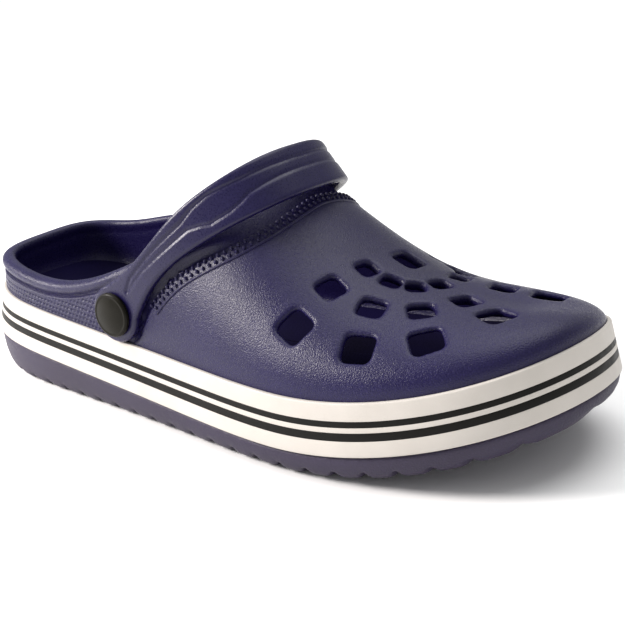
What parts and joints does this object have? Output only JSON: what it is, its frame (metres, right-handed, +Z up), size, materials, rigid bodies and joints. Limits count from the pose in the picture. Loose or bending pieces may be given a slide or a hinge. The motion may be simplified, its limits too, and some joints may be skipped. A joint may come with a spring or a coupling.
{
  "type": "garden clog",
  "caption": "Foam slip-on clog with a vented toe, a banded sole and a heel strap that swings on two rivets.",
  "frame": {"origin": "bottom centre of the clog's box, on the ground plane under the tread", "axes": "+X from the heel to the toe, +Y to the inner (medial) side of a right shoe, +Z up"},
  "size_m": [0.296, 0.1224, 0.1091],
  "materials": {
    "upper_foam": "satin, fine pebble grain",
    "strap_foam": "satin, smooth",
    "footbed_foam": "matte, nubbed",
    "midsole_foam": "matte",
    "outsole_rubber": "matte",
    "band_white": "matte",
    "stripe_black": "satin",
    "rivet_plastic": "satin"
  },
  "bodies": {
    "shoe": {"upper": "upper_foam", "footbed": "footbed_foam", "midsole": "midsole_foam", "outsole": "outsole_rubber", "foxing_band": "band_white", "stripe_upper": "stripe_black", "stripe_lower": "stripe_black", "rivet_cap_lateral": "rivet_plastic", "rivet_cap_medial": "rivet_plastic", "rivet_back_lateral": "rivet_plastic", "rivet_back_medial": "rivet_plastic"},
    "strap": {"heel_strap": "strap_foam"}
  },
  "joints": [
    {"name": "strap_pivot", "type": "hinge", "parent": "shoe", "child": "strap", "pos_m": [-0.04025, 0, 0.0444], "axis": [0, 1, 0], "range_deg": [-107, 0]}
  ]
}
